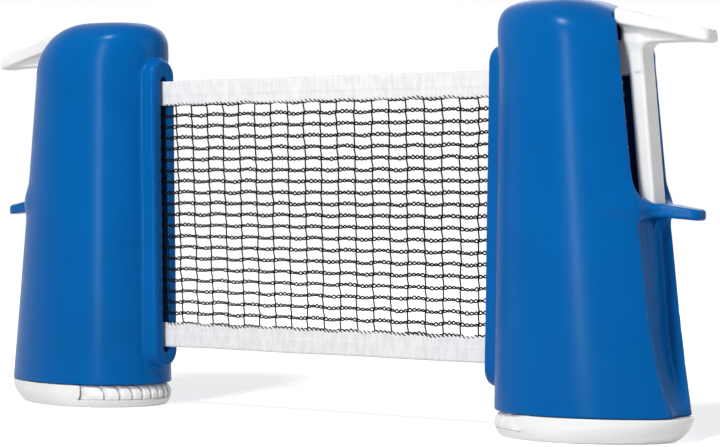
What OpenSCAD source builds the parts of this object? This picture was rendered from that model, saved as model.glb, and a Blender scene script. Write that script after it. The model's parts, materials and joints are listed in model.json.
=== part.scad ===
// Retractable table tennis net carried by two spring clamp posts.
// X runs along the net, Y away from the front, Z up. The origin is on the ground line, midway
// between the posts. A post is drawn in its own frame: u points at the net, v is Y, and the right
// post is the mirror image of the left one. Sizes are millimetres.

/* [Posts] */
// Distance from the middle of the net to the axis of each post
post_x = 142.7; // [130:0.1:160]
// Height of a post, foot included
post_h = 194.6; // [190:0.1:200]
// Height of the clamp foot, which is the level of the table top
foot_h = 11.5; // [11:0.1:12]
// Half depth of the housing at its bottom edge
half_depth = 32; // [30:0.5:34]
// Reach of the housing towards the net at its bottom edge
net_reach = 40.4; // [39:0.1:42]
// Reach of the housing away from the net at its bottom edge
back_reach = 54.8; // [54:0.1:57]
// Wall thickness of the housing
wall = 2.4; // [2:0.1:3]

/* [Net] */
// Height of the net band
net_h = 133.5; // [125:0.5:137]
// Height of the lower edge of the net above the ground line
net_low = 30.5; // [29:0.5:32]
// Height of the white tape along each edge of the net
tape_h = 12.2; // [8:0.1:14]
// Thickness of the net
net_t = 0.8; // [0.6:0.1:1]
// Gaps in the mesh along the net
mesh_columns = 18; // [6:1:20]
// Gaps in the mesh up the net
mesh_rows = 14; // [6:1:15]
// Thickness of a mesh cord
cord_w = 1.1; // [0.8:0.1:1.6]

/* [Clamp] */
// Travel of the foot when the lever is squeezed
stroke = 55; // [40:1:56]
// Radius of the push rod
rod_r = 4; // [3.5:0.1:4.4]
// Half width of the lever's fin
fin_w = 5.7; // [5:0.1:6]
// Depth of the lever's fin
fin_d = 7.4; // [6:0.1:7.6]
// Reach of the squeeze lever from the post axis
lever_reach = 64.5; // [62:0.5:67]
// Reach of the finger ledge from the post axis
ledge_reach = 60.3; // [58:0.1:63]
// Radius of the clamp spring's coil
spring_r = 7.6; // [7:0.1:8]
// Radius of the clamp spring's wire
wire_r = 0.9; // [0.7:0.1:1]
// Turns of the clamp spring
spring_turns = 13; // [10:1:14]

/* [Roller] */
// Distance from the post axis to the roller, towards the net
roller_u = 17; // [16:0.5:18]
// Radius of the net wound on the roller
wound_r = 10.4; // [8:0.1:10.6]
// Radius of the roller's core
core_r = 5; // [4:0.5:6]
// Radius of the roller's steel axle
axle_r = 2; // [2:0.1:2.5]

/* [Hidden] */

left = -1;
right = 1;
blue = [0.02, 0.33, 0.66];
white = [0.92, 0.92, 0.90];
steel = [0.62, 0.63, 0.65];
black = [0.08, 0.08, 0.09];
rubber_grey = [0.75, 0.75, 0.73];
far = 120;
$fn = 32;

// Housing form: a tapered egg, drawn in towards a crowned top.
arc_steps = 18;
shoulder_z = 165;
net_taper = 0.011;
back_taper = 0.12;
depth_taper = 0.014;
net_side_power = 2.0;
back_side_power = 1.76;
net_crown_power = 4.4;
back_crown_power = 2.1;
depth_crown_power = 3.4;
crown_shift = 5;
crown_rings = 8;
parting_gap = 0.1;

// Channel down the back of the housing, and the slot above the ledge that opens it. The channel's
// mouth and floor are half widths at a height; its floor comes out to the surface above the foot.
rim_u = 47.8;
rim_slope = 0.116;
channel_levels = [7.5, 16, 30, 45, 62, 90, 120];
mouth_v = [[7.5, 8], [16, 9.8], [30, 12.2], [45, 13.7], [62, 14.3], [90, 14.6], [120, 15.6], [200, 15.6]];
floor_v = [[7.5, 2], [16, 5.5], [30, 9.8], [45, 11.6], [62, 12.2], [90, 12.6], [120, 13], [200, 13.4]];
floor_rise = [[7.5, 11.5], [16, 7.5], [30, 2.2], [45, 0], [200, 0]];
slot_v = 11.3;
slot_u = -22;

// Slide of the clamp: it leans with the back of the housing.
slide_lean = 5.4;
fin_face = -49.3;
rod_u = -26.5;
slide_gap = 0.35;

// Nose that the net leaves by.
nose_u = 46.4;
nose_slope = 0.0156;
nose_v = 8.2;
nose_draft = 0.25;
nose_low = 20.8;
nose_high = 174.7;
nose_edge = 1.6;
slot_w = 5;
slot_low = 27.5;
slot_high = 166.5;

// Finger ledge.
ledge_top = 101.1;
ledge_t = 4.7;
ledge_rise = 2.3;
ledge_lift = 1.3;
ledge_low = ledge_top - ledge_t;
ledge_root_u = -30;
// Plan of the ledge, as distance from the post axis and half width.
ledge_plan = [[30, 14.6], [34, 13], [36, 11.5], [38, 9.6], [41, 8.3], [46, 7.3], [52, 6], [59, 4.4], [60.3, 3.2]];
upper_fillet = 12;
lower_fillet = 7;

// Shelves inside the housing.
shelf_t = 3;
low_shelf = 24;
high_shelf = 170;
floor_t = 2.5;

roller_v = -(wound_r + 0.3 + net_t / 2);
roller_low = low_shelf + shelf_t + 0.6;
roller_high = high_shelf - 0.6;
axle_fit = 0.05;
rod_fit = 0.06;
bush_r = 4.5;

// Screws of the housing, as u and z, and their fit.
screw_spots = [[31, 19], [-6, 19], [-1, 98], [31, 181], [5, 181]];
boss_r = 4;
pilot_r = 1.25;
shank_r = 1.2;
head_r = 2.8;
head_seat = 8;
screw_grip = 12;

// Rubber face of the upper jaw.
jaw_margin = 5;
jaw_pad_t = 1.3;

// Squeeze lever.
beak_root_u = -22.5;
beak_root_z = 188.6;
beak_tip_z = 173.5;
beak_tip_v = 5.5;
web_fillet = 5;
fin_low = 95;
fin_high = 172;
arm_low = 157.5;
arm_high = 172;
// The slot reaches down to where the arm stops.
slot_low_z = arm_low - stroke + 1.5;

// Rod, foot and their screw; heights along the slide.
rod_low = 2.6;
rod_high = 169;
foot_screw_r = 2;
foot_head_r = 3.6;
foot_head_z = 0.4;
foot_levels = [0, 0.7, 2, 4, 6.5, 9, foot_h - 0.3];
foot_round_power = 1.3;
foot_round_net = 3.2;
foot_round_back = 9.8;
jaw_root_u = -8;
pad_low = 4;
groove_z = 4.3;
rib_pitch = 4.8;
groove_w = 1.1;
rib_pairs = 6;
rib_half = rib_pairs * rib_pitch + groove_w / 2;
end_run = 8;
plain_end_u = 18.5;

// Clamp spring.
rings_per_turn = 8;
spring_low = 28;
spring_h = arm_low - spring_low - wire_r - 0.2;

// Rewind spring.
strip_start = 3;
strip_pitch = 1;
strip_t = 0.45;
strip_turns = 4;
strip_steps = 18;
strip_h = 6;

net_half = post_x - roller_u;
tape_t = 1.4;

// ---------- shared shapes ----------

function taper(z) = min(z, shoulder_z) - foot_h;
function crown(z) = max(0, (z - shoulder_z) / (post_h - shoulder_z));
function shrink(z, power) = pow(1 - pow(crown(z), power), 1 / power);
function reach_net(z) = net_reach - net_taper * taper(z);
function reach_back(z) = back_reach - back_taper * taper(z);
function reach_depth(z) = half_depth - depth_taper * taper(z);
function power_cos(a, power) = sign(cos(a)) * pow(abs(cos(a)), 2 / power);
function power_sin(a, power) = pow(abs(sin(a)), 2 / power);

// One point of the egg outline at angle a, drawn in by the thickness t.
function egg_point(a, z, t) =
    let (net_side = cos(a) >= 0,
         power = net_side ? net_side_power : back_side_power,
         side_crown_power = net_side ? net_crown_power : back_crown_power,
         crown_power = depth_crown_power + (side_crown_power - depth_crown_power) * pow(cos(a), 2),
         s = shrink(z, crown_power),
         reach = (net_side ? reach_net(z) : reach_back(z)) * s - t,
         shift = crown_shift * pow(crown(z), 2))
    [shift + reach * power_cos(a, power), (reach_depth(z) * s - t) * power_sin(a, power), z];
// Reach of the back of the egg at height z and depth v, below the crown.
function back_at(z, v) =
    reach_back(z) * pow(1 - pow(v / reach_depth(z), back_side_power), 1 / back_side_power);

// Half an egg outline, on the back side of the parting plane.
function half_egg(z, t, steps) = [
    for (i = [0 : steps])
        let (p = egg_point(180 * i / steps, z, t)) [p[0], max(p[1], parting_gap / 2), p[2]]
];
function full_egg(z, t, steps) = [
    for (i = [0 : 2 * steps - 1])
        let (a = 180 * i / steps, p = egg_point(a, z, t)) [p[0], a > 180 ? -p[1] : p[1], p[2]]
];

// Skin over rings of equal point counts; each ring runs anticlockwise seen from the last ring.
module loft(rings) {
    count = len(rings[0]);
    last = len(rings) - 1;
    sides = [
        for (i = [0 : last - 1], j = [0 : count - 1])
            let (a = i * count + j, b = i * count + (j + 1) % count)
            each [[a, a + count, b + count], [a, b + count, b]]
    ];
    low_cap = [for (j = [0 : count - 1]) j];
    high_cap = [for (j = [count - 1 : -1 : 0]) last * count + j];
    polyhedron(points = [for (ring = rings) each ring], faces = concat(sides, [low_cap, high_cap]));
}

// A post's children, drawn once and mirrored for the right post.
module post(side) {
    if (side == left) translate([-post_x, 0, 0]) children();
    else translate([post_x, 0, 0]) mirror([1, 0, 0]) children();
}

// The leaning frame that the lever, the rod and the foot slide in.
module slide_frame() rotate([0, slide_lean, 0]) children();

// Side profile in u and z, spread over a half width in v.
module side_profile(points, half_width) {
    translate([0, half_width, 0]) rotate([90, 0, 0]) linear_extrude(2 * half_width) polygon(points);
}

function arc(cx, cz, r, from, to, steps) = [
    for (i = [0 : steps]) let (a = from + (to - from) * i / steps) [cx + r * cos(a), cz + r * sin(a)]
];

// ---------- housing ----------

function rim_at(z) = -(rim_u - rim_slope * z);
function fin_outer_at(z) = fin_face / cos(slide_lean) + z * tan(slide_lean);
function fin_inner_at(z) = (fin_face + fin_d) / cos(slide_lean) + z * tan(slide_lean);
function channel_floor_at(z) = fin_inner_at(z) + slide_gap - lookup(z, floor_rise);

// Cross-section of the channel at one height: open outwards, with sloping sides and a flat floor.
function channel_ring(z, rim, mouth, base) = [
    [-far, -mouth - 4, z], [rim, -mouth, z], [channel_floor_at(z), -base, z],
    [channel_floor_at(z), base, z], [rim, mouth, z], [-far, mouth + 4, z]
];
module channel() {
    top_z = post_h + 5;
    loft(concat(
        [for (z = channel_levels)
            channel_ring(z, -back_at(z, lookup(z, mouth_v)), lookup(z, mouth_v), lookup(z, floor_v))],
        [channel_ring(top_z, rim_at(top_z), lookup(top_z, mouth_v), lookup(top_z, floor_v))]
    ));
}
module lever_slot() {
    translate([-far, -slot_v, slot_low_z]) cube([far + slot_u, 2 * slot_v, far]);
}

function nose_ring(depth, grow) = [
    for (i = [0 : 2 * 9 + 1])
        let (high = i > 9,
             a = high ? 90 * (i - 10) / 9 : -90 + 90 * i / 9,
             r = nose_v + grow,
             z = (high ? nose_high - nose_v : nose_low + nose_v) + r * sin(a))
        [nose_u - nose_slope * z - depth, max(r * cos(a), parting_gap / 2), z]
];
module nose() {
    loft([
        nose_ring(16, 16 * nose_draft), nose_ring(nose_edge, nose_edge * nose_draft),
        nose_ring(0.3 * nose_edge, -0.3 * nose_edge), nose_ring(0, -nose_edge)
    ]);
}
module net_slot() {
    radius = slot_w / 2;
    translate([nose_u - 22, -radius, slot_low + radius])
        cube([30, slot_w, slot_high - slot_low - slot_w]);
    for (z = [slot_low + radius, slot_high - radius])
        translate([nose_u - 22, 0, z]) rotate([0, 90, 0]) cylinder(h = 30, r = radius);
}

function ledge_profile() = concat(
    [[-ledge_reach, ledge_low + 1], [-ledge_reach, ledge_top - 1], [-ledge_reach + 1, ledge_top]],
    arc(rim_at(ledge_top) - upper_fillet, ledge_top + ledge_rise + upper_fillet, upper_fillet, -84, -4, 8),
    [[ledge_root_u, ledge_top + upper_fillet], [ledge_root_u, ledge_low + ledge_lift - lower_fillet]],
    arc(channel_floor_at(ledge_low) - lower_fillet, ledge_low + ledge_lift - lower_fillet, lower_fillet,
        0, 90, 7),
    [[-ledge_reach + 1, ledge_low]]
);
// Outline in u and v from distances and half widths, drawn out or in to the reach.
module plan(rows, reach) {
    stretch = reach / rows[len(rows) - 1][0];
    polygon(concat(
        [for (row = rows) [-row[0] * stretch, -row[1]]],
        [for (i = [len(rows) - 1 : -1 : 0]) [-rows[i][0] * stretch, rows[i][1]]]
    ));
}
module ledge() {
    intersection() {
        side_profile(ledge_profile(), half_depth);
        translate([0, 0, ledge_top - 30]) linear_extrude(60) plan(ledge_plan, ledge_reach);
    }
}
// Passage that lets the fin slide down through the ledge, in front of the channel floor.
module fin_passage() {
    slide_frame() translate([fin_face - slide_gap, -fin_w - slide_gap, 60])
        cube([fin_d + 2 * slide_gap, 2 * (fin_w + slide_gap), 80]);
}

module cavity() {
    difference() {
        loft(concat(
            [for (z = [foot_h + floor_t, shoulder_z]) full_egg(z, wall, 12)],
            [for (i = [1 : 4]) let (z = shoulder_z + (post_h - shoulder_z) * sin(78 * i / 4))
                [for (p = full_egg(z, wall, 12)) [p[0], p[1], p[2] - wall * crown(z)]]]
        ));
        for (z = [low_shelf, high_shelf])
            translate([-3, -far / 2, z]) cube([far, far, shelf_t]);
        translate([-far, -far / 2, low_shelf]) cube([far, far, shelf_t]);
        // wall behind the channel floor
        loft([
            for (z = [foot_h - 2, 16, 30, 45, slot_low_z])
                let (u = channel_floor_at(z) + wall, base = lookup(z, floor_v) + wall, mouth = base + 2.6)
                [[-far, -mouth, z], [u, -base, z], [u, base, z], [-far, mouth, z]]
        ]);
    }
}
module rod_hole(clearance) {
    slide_frame() translate([rod_u, 0, -30]) cylinder(h = 120, r = rod_r + clearance);
}

// Half of the housing on the back side of the parting plane, without its holes for screws.
module shell_half() {
    difference() {
        union() {
            difference() {
                union() {
                    loft(concat(
                        [for (z = [foot_h, shoulder_z]) half_egg(z, 0, arc_steps)],
                        [for (i = [1 : crown_rings])
                            half_egg(shoulder_z + (post_h - shoulder_z) * sin(89 * i / crown_rings), 0,
                                arc_steps)]
                    ));
                    nose();
                }
                channel();
                difference() {
                    cavity();
                    screw_columns(-half_depth, half_depth, boss_r);
                }
            }
            intersection() {
                ledge();
                translate([-far, parting_gap / 2, 0]) cube([2 * far, far, 2 * far]);
            }
        }
        lever_slot_above_ledge();
        net_slot();
        fin_passage();
        rod_hole(rod_fit);
    }
}
module lever_slot_above_ledge() {
    difference() {
        lever_slot();
        intersection() {
            ledge();
            translate([-far, -far, 0]) cube([far + rim_at(slot_low_z) + 1, 2 * far, 2 * far]);
        }
    }
}

// ---------- housing pieces ----------

// Screw columns as u and z; the screws enter from the back and bite into the front half.
module screw_columns(low_v, high_v, r) {
    for (spot = screw_spots)
        translate([spot[0], low_v, spot[1]]) rotate([-90, 0, 0]) cylinder(h = high_v - low_v, r = r);
}
module bush_seats() {
    for (z = [low_shelf, high_shelf])
        translate([roller_u, roller_v, z - 1]) cylinder(h = shelf_t + 2, r = bush_r + axle_fit);
}
module jaw_outline(inset) {
    polygon([for (a = [-78 : 12 : 78])
        let (p = egg_point(abs(a), foot_h, jaw_margin + inset)) [p[0], sign(a) * p[1]]]);
}
module jaw_pocket() {
    translate([0, 0, foot_h - 1]) linear_extrude(jaw_pad_t + 1) jaw_outline(0);
}
module shell_front() {
    color(blue) difference() {
        mirror([0, 1, 0]) shell_half();
        screw_columns(-screw_grip, 1, pilot_r);
        bush_seats();
        jaw_pocket();
    }
}
module shell_back() {
    color(blue) difference() {
        shell_half();
        screw_columns(-1, far, shank_r + 0.3);
        screw_columns(head_seat, far, head_r + 0.3);
        jaw_pocket();
    }
}
module shell_screws() {
    color(steel) {
        screw_columns(-screw_grip + 1, head_seat + 0.5, shank_r);
        difference() {
            screw_columns(head_seat, head_seat + 2, head_r);
            for (turn = [0, 90])
                for (spot = screw_spots)
                    translate([spot[0], head_seat + 1.7, spot[1]]) rotate([0, turn, 0])
                        cube([2.6, 2, 0.7], center = true);
        }
    }
}
module jaw_pad() {
    color(rubber_grey) translate([0, 0, foot_h]) linear_extrude(jaw_pad_t - 0.1) jaw_outline(0.1);
}

// ---------- clamp ----------

function beak_profile() = concat(
    [[beak_root_u, beak_root_z - 6.3], [beak_root_u, beak_root_z]],
    [[-lever_reach + 7, beak_tip_z + 7.2]],
    arc(-lever_reach + 6, beak_tip_z + 1.2, 6, 80, 175, 6),
    [[-lever_reach + 1, beak_tip_z]]
);
function web_profile() = concat(
    [[-24, beak_root_z - 2], [-lever_reach + 9, beak_tip_z + 4], [-lever_reach + 1, beak_tip_z]],
    [[fin_outer_at(beak_tip_z) - web_fillet, beak_tip_z]],
    arc(fin_outer_at(beak_tip_z) - web_fillet, beak_tip_z - web_fillet, web_fillet, 80, 10, 5),
    [[-24, beak_tip_z - web_fillet]]
);
module beak() {
    intersection() {
        side_profile(beak_profile(), slot_v - 0.4);
        translate([0, 0, 150]) linear_extrude(50) polygon([
            [-20, -slot_v], [-28, -slot_v], [-38, -8.2], [-lever_reach + 2.5, -beak_tip_v],
            [-lever_reach, -beak_tip_v + 2.5], [-lever_reach, beak_tip_v - 2.5],
            [-lever_reach + 2.5, beak_tip_v], [-38, 8.2], [-28, slot_v], [-20, slot_v]
        ]);
    }
    side_profile(web_profile(), beak_tip_v);
}
module squeeze_lever() {
    color(white) difference() {
        union() {
            beak();
            slide_frame() {
                translate([fin_face, -fin_w, fin_low]) cube([fin_d, 2 * fin_w, fin_high - fin_low]);
                translate([fin_face + 1, -fin_w, arm_low])
                    cube([rod_u - fin_face - 1, 2 * fin_w, arm_high - arm_low]);
                translate([rod_u, 0, arm_low]) cylinder(h = arm_high - arm_low, r = rod_r + 3);
            }
        }
        slide_frame() translate([rod_u, 0, arm_low - 1])
            cylinder(h = rod_high - arm_low + 1, r = rod_r + rod_fit / 2);
    }
}
module push_rod() {
    color(steel) slide_frame() difference() {
        translate([rod_u, 0, rod_low]) cylinder(h = rod_high - rod_low, r = rod_r);
        translate([rod_u, 0, rod_low - 1]) cylinder(h = 15, r = foot_screw_r);
    }
}

// Rounded bowl on the housing's own outline, drawn in further at the end away from the net.
function foot_inset(z, a) =
    let (share = 1 - pow(1 - pow(1 - z / foot_h, foot_round_power), 1 / foot_round_power),
         outer = cos(a) < 0 ? pow(cos(a), 2) : 0)
    share * (foot_round_net + (foot_round_back - foot_round_net) * outer);
module foot_form() {
    loft([
        for (z = foot_levels)
            [for (i = [0 : 39])
                let (a = 9 * i, p = egg_point(min(a, 360 - a), foot_h, foot_inset(z, a)))
                [p[0], a > 180 ? -p[1] : p[1], z]]
    ]);
}
// Curve that rounds an end down from the jaw's top to the floor of the grooves.
function end_curve(end_u) = [
    for (a = [90 : -15 : 0])
        [end_u - end_run + end_run * cos(a), groove_z + (foot_h - groove_z) * sin(a)]
];
function outline_u(v) = net_reach * pow(1 - pow(v / half_depth, net_side_power), 1 / net_side_power);
module jaw_block(half_width, high_z) {
    translate([jaw_root_u, -half_width, pad_low]) cube([far, 2 * half_width, high_z - pad_low]);
}
module foot() {
    color(white) difference() {
        foot_form();
        jaw_block(rib_half, far);
        side_profile(concat([[far, far], [plain_end_u - end_run, far]], end_curve(plain_end_u),
            [[far, groove_z]]), half_depth);
        slide_frame() {
            translate([rod_u, 0, rod_low]) cylinder(h = 30, r = rod_r + rod_fit / 2);
            translate([rod_u, 0, -10]) cylinder(h = 20, r = foot_screw_r + 0.1);
            translate([rod_u, 0, -20]) cylinder(h = foot_head_z + 20, r = foot_head_r + 0.3);
        }
    }
}
// Grip of the lower jaw: ribs with rounded ends on a thin slab.
module foot_pad() {
    color(white) intersection() {
        foot_form();
        union() {
            jaw_block(rib_half, groove_z);
            for (i = [0 : 2 * rib_pairs - 1])
                let (v = (i - rib_pairs + 0.5) * rib_pitch, end_u = outline_u(abs(v) - rib_pitch / 2))
                translate([0, v, 0])
                    side_profile(concat([[jaw_root_u, pad_low], [jaw_root_u, foot_h]], end_curve(end_u),
                        [[end_u, pad_low]]), (rib_pitch - groove_w) / 2);
        }
    }
}
module foot_screw() {
    color(steel) slide_frame() translate([rod_u, 0, 0]) {
        translate([0, 0, foot_head_z - 2]) cylinder(h = 2, r = foot_head_r);
        translate([0, 0, foot_head_z - 0.5]) cylinder(h = 13, r = foot_screw_r - 0.05);
    }
}

// Centre line of the clamp spring, as points up its helix.
function helix_point(i) =
    let (a = 360 * i / rings_per_turn)
    [spring_r * cos(a), spring_r * sin(a), spring_h * i / (spring_turns * rings_per_turn)];
module clamp_spring() {
    pitch_slope = spring_h / spring_turns / (2 * PI * spring_r);
    points = [for (i = [0 : spring_turns * rings_per_turn]) helix_point(i)];
    color(steel) slide_frame() translate([rod_u, 0, spring_low]) loft([
        for (i = [0 : len(points) - 1])
            let (a = 360 * i / rings_per_turn,
                 out = [cos(a), sin(a), 0],
                 along = [-sin(a), cos(a), pitch_slope] / norm([1, pitch_slope]),
                 up = cross(along, out))
            [for (k = [0 : 5]) points[i] + wire_r * (cos(60 * k) * out + sin(60 * k) * up)]
    ]);
    echo(least_spring_gap = min([
        for (i = [0 : len(points) - 1 - rings_per_turn], k = [rings_per_turn - 2 : rings_per_turn])
            norm(points[i + k] - points[i]) - 2 * wire_r
    ]));
}

// ---------- roller ----------

module tube(low_z, high_z, r, bore) {
    translate([roller_u, roller_v, low_z]) difference() {
        cylinder(h = high_z - low_z, r = r);
        translate([0, 0, -1]) cylinder(h = high_z - low_z + 2, r = bore);
    }
}
module roller_core() {
    color(white) tube(roller_low, roller_high, core_r, axle_r + axle_fit / 2);
}
module roller_axle() {
    color(steel) translate([roller_u, roller_v, foot_h + floor_t + 1])
        cylinder(h = high_shelf + shelf_t + 2 - foot_h - floor_t, r = axle_r);
}
module wound_net() {
    color(black) tube(net_low, net_low + net_h, wound_r, core_r + axle_fit);
}
module top_bush() {
    color(white) tube(high_shelf, high_shelf + shelf_t, bush_r, axle_r + axle_fit);
}
module bottom_bush() {
    color(white) tube(low_shelf, low_shelf + shelf_t, bush_r, axle_r + axle_fit);
}
// Flat spiral that winds the net back in.
module rewind_spring() {
    function spiral(i, t) =
        let (a = 360 * i / strip_steps, r = strip_start + strip_pitch * i / strip_steps + t)
        [r * cos(a), r * sin(a)];
    count = strip_turns * strip_steps;
    color(steel) translate([roller_u, roller_v, foot_h + floor_t + 0.1]) linear_extrude(strip_h)
        polygon(concat(
            [for (i = [0 : count]) spiral(i, 0)],
            [for (i = [count : -1 : 0]) spiral(i, strip_t)]
        ));
}

// ---------- net ----------

module net_panel(low_z, high_z, t) {
    translate([-net_half, t / 2, low_z]) rotate([90, 0, 0]) linear_extrude(t)
        difference() {
            square([2 * net_half, high_z - low_z]);
            children();
        }
}
module net_mesh() {
    mesh_low = net_low + tape_h;
    mesh_high = net_low + net_h - tape_h;
    pitch_x = (2 * net_half - cord_w) / mesh_columns;
    pitch_z = (mesh_high - mesh_low - cord_w) / mesh_rows;
    color(black) net_panel(mesh_low, mesh_high, net_t)
        for (i = [0 : mesh_columns - 1], j = [0 : mesh_rows - 1])
            translate([cord_w + i * pitch_x, cord_w + j * pitch_z])
                square([pitch_x - cord_w, pitch_z - cord_w]);
}
module net_bottom_tape() {
    color(white) net_panel(net_low, net_low + tape_h, tape_t);
}
module net_top_tape() {
    color(white) net_panel(net_low + net_h - tape_h, net_low + net_h, tape_t);
}

post(left) shell_front();  // left_shell_front
post(left) shell_back();  // left_shell_back
post(left) shell_screws();  // left_shell_screws
post(left) squeeze_lever();  // left_squeeze_lever
post(left) push_rod();  // left_push_rod
post(left) foot();  // left_foot
post(left) foot_pad();  // left_foot_pad
post(left) foot_screw();  // left_foot_screw
post(left) jaw_pad();  // left_jaw_pad
post(left) clamp_spring();  // left_clamp_spring
post(left) roller_core();  // left_roller_core
post(left) roller_axle();  // left_roller_axle
post(left) wound_net();  // left_wound_net
post(left) top_bush();  // left_top_bush
post(left) bottom_bush();  // left_bottom_bush
post(left) rewind_spring();  // left_rewind_spring
post(right) shell_front();  // right_shell_front
post(right) shell_back();  // right_shell_back
post(right) shell_screws();  // right_shell_screws
post(right) squeeze_lever();  // right_squeeze_lever
post(right) push_rod();  // right_push_rod
post(right) foot();  // right_foot
post(right) foot_pad();  // right_foot_pad
post(right) foot_screw();  // right_foot_screw
post(right) jaw_pad();  // right_jaw_pad
post(right) clamp_spring();  // right_clamp_spring
post(right) roller_core();  // right_roller_core
post(right) roller_axle();  // right_roller_axle
post(right) wound_net();  // right_wound_net
post(right) top_bush();  // right_top_bush
post(right) bottom_bush();  // right_bottom_bush
post(right) rewind_spring();  // right_rewind_spring
net_mesh();
net_top_tape();
net_bottom_tape();
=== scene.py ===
"""Looks of the retractable table tennis net. Fields and profiles are in millimetres, in a post's own frame:
u points at the net, v is the row's Y, z is up. The right post mirrors the left one."""
import json
import math

import bmesh
import bpy
import numpy as np
from mathutils import Matrix, Vector


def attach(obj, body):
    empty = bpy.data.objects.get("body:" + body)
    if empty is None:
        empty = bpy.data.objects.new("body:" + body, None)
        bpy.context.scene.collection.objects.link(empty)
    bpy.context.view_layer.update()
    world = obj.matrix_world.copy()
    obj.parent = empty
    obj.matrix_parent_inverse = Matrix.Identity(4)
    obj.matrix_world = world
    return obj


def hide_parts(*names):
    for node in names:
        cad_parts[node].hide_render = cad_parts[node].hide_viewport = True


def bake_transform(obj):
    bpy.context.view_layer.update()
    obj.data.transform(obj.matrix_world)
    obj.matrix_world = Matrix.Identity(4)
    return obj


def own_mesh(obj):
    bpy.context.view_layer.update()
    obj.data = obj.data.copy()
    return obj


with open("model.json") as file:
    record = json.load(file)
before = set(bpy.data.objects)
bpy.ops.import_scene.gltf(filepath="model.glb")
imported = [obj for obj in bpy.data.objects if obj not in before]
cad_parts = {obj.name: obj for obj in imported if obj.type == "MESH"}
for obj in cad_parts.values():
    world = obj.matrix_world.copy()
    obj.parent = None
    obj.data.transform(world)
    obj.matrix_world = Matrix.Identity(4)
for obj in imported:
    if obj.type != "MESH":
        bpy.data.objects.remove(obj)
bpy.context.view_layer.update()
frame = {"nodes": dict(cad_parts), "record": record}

MM = 0.001
SIDES = {"left": -1, "right": 1}

# Housing, with the same driving sizes as the CAD part.
POST_X = 142.7
POST_H = 194.6
FOOT_H = 11.5
HALF_DEPTH = 32.0
NET_REACH = 40.4
BACK_REACH = 54.8
WALL = 2.4
SHOULDER_Z = 165.0
NET_TAPER = 0.011
BACK_TAPER = 0.12
DEPTH_TAPER = 0.014
NET_SIDE_POWER = 2.0
BACK_SIDE_POWER = 1.76
NET_CROWN_POWER = 4.4
BACK_CROWN_POWER = 2.1
DEPTH_CROWN_POWER = 3.4
CROWN_SHIFT = 5.0
MOUTH_V = ((7.5, 8), (16, 9.8), (30, 12.2), (45, 13.7), (62, 14.3), (90, 14.6), (120, 15.6), (200, 15.6))
FLOOR_V = ((7.5, 2), (16, 5.5), (30, 9.8), (45, 11.6), (62, 12.2), (90, 12.6), (120, 13), (200, 13.4))
FLOOR_RISE = ((7.5, 11.5), (16, 7.5), (30, 2.2), (45, 0), (200, 0))
RIM_REACH = 47.8
RIM_TAPER = 0.116
SLOT_V = 11.3
SLOT_LOW_Z = 104.0
SLOT_U = -22.0
NOSE_ROOT_U = 20.0
NOSE_U = 46.4
NOSE_SLOPE = 0.0156
NOSE_V = 8.2
NOSE_DRAFT = 0.25
NOSE_LOW = 20.8
NOSE_HIGH = 174.7
NET_SLOT_R = 2.5
NET_SLOT_LOW = 27.5
NET_SLOT_HIGH = 166.5
LEDGE_TOP = 101.1
LEDGE_LOW = 96.4
LEDGE_RISE = 2.3
LEDGE_LIFT = 1.3
LEDGE_REACH = 60.3
LEDGE_ROOT = 30.0
LEDGE_RUN = 15.0
LEDGE_PLAN = ((LEDGE_ROOT, 14.6), (34, 13), (36, 11.5), (38, 9.6), (41, 8.3), (46, 7.3), (52, 6), (59, 4.4),
              (LEDGE_REACH, 3.2))
LEDGE_FILLET = ((96, 7), (101, 12))
CHANNEL_EDGE = ((14, 3.5), (45, 1.1))
SCREW_SPOTS = ((31, 19), (-6, 19), (-1, 98), (31, 181), (5, 181))
COUNTERBORE_R = 3.1
COUNTERBORE_V = 8.0
BOTTOM_T = 2.5
SEAM_HALF_W = 0.32
SEAM_DEPTH = 0.16
SEAM_GAP = 0.04
JAW_MARGIN = 5.0
JAW_POCKET_U = 6.0
JAW_POCKET_H = 1.3

# Clamp slide, lever and foot.
LEAN = math.radians(5.4)
FIN_FACE = -49.3
FIN_D = 7.4
FIN_W = 5.7
FIN_GAP = 0.35
FIN_LOW = 95.0
PASSAGE_Z = 100.0
PASSAGE_HALF_H = 40.0
ROD_U = -26.5
ROD_R = 4.0
LEVER_ROOT = 22.5
LEVER_REACH = 64.5
LEVER_TOP_Z = 188.6
LEVER_TOP_SLOPE = 0.2257
LEVER_UNDER_Z = 182.3
LEVER_UNDER_SLOPE = 0.2146
LEVER_PLAN = ((20, 10.9), (28, 10.6), (38, 8.4), (LEVER_REACH, 5.7))
WEB_HALF = 4.6
ARM_Z = 164.75
ARM_HALF_H = 7.25
SOCKET_TOP_Z = 169.0
BEAK_TIP_Z = 173.5
SPRING_R = 7.6
WIRE_R = 0.9
SPRING_TURNS = 13
CLOSED_TURNS = 1.2
CLOSED_RISE = 2.4 * WIRE_R
TURN_STEPS = 28
SPRING_LOW = 28.0
SPRING_H = ARM_Z - ARM_HALF_H - SPRING_LOW - WIRE_R - 0.2
FOOT_ROUND_POWER = 1.65
FOOT_ROUND_NET = 3.2
FOOT_ROUND_BACK = 10.4
FOOT_ROUND_H = 6.5
FOOT_RECESS_R = 3.9
FOOT_RECESS_H = 0.4
PAD_LOW = 4.0
GROOVE_Z = 4.3
JAW_ROOT_U = -8.0
RIB_PITCH = 4.8
GROOVE_W = 1.1
RIB_SPAN = 6 * RIB_PITCH
RIB_HALF = RIB_SPAN + GROOVE_W / 2
PLAIN_END_U = 18.5
PLAIN_END_RUN = 9.0
RIB_END_RUN = 6.0

# Net.
NET_LOW = 30.5
NET_H = 133.5
TAPE_H = 12.2
NET_END = POST_X - 44.0


# ---------- fields: negative inside, roughly in millimetres ----------

def join(a, b, r):
    """Union of two fields, with a concave fillet of radius r."""
    return np.maximum(r, np.minimum(a, b)) - np.hypot(np.maximum(r - a, 0), np.maximum(r - b, 0))


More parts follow.
